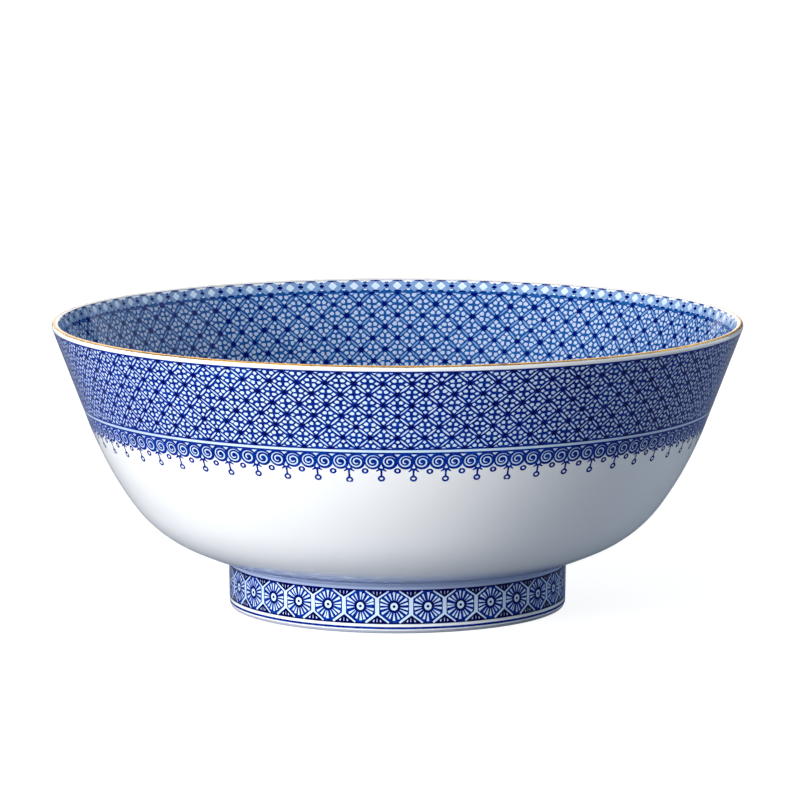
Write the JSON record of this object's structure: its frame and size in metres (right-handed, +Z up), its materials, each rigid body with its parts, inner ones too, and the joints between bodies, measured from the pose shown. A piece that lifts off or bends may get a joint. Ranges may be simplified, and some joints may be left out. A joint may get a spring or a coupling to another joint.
{
  "type": "footed serving bowl",
  "caption": "Round porcelain serving bowl on a foot ring, with blue printed borders outside and inside and a gilt lip, for serving or displaying food.",
  "frame": {"origin": "centre of the resting plane under the foot ring", "axes": "+Z up along the bowl's turning axis; every direction round Z is the same, and -Y is taken as the front"},
  "size_m": [0.254, 0.254, 0.1044],
  "materials": {
    "biscuit_porcelain": "matt biscuit",
    "porcelain_slip": "matt biscuit",
    "clear_glaze": "gloss",
    "cobalt_print": "gloss, sunk in the glaze",
    "gilding": "burnished gold"
  },
  "bodies": {
    "root": {"bowl_body": "biscuit_porcelain", "foot_ring": "biscuit_porcelain", "slip_joint": "porcelain_slip", "exterior_glaze": "clear_glaze", "interior_glaze": "clear_glaze", "underside_glaze": "clear_glaze", "lattice_print": "cobalt_print", "scroll_print": "cobalt_print", "foot_print": "cobalt_print", "foot_line_print": "cobalt_print", "inner_rim_print": "cobalt_print", "inner_lattice_print": "cobalt_print", "inner_scroll_print": "cobalt_print", "rim_gilding": "gilding"}
  },
  "joints": []
}
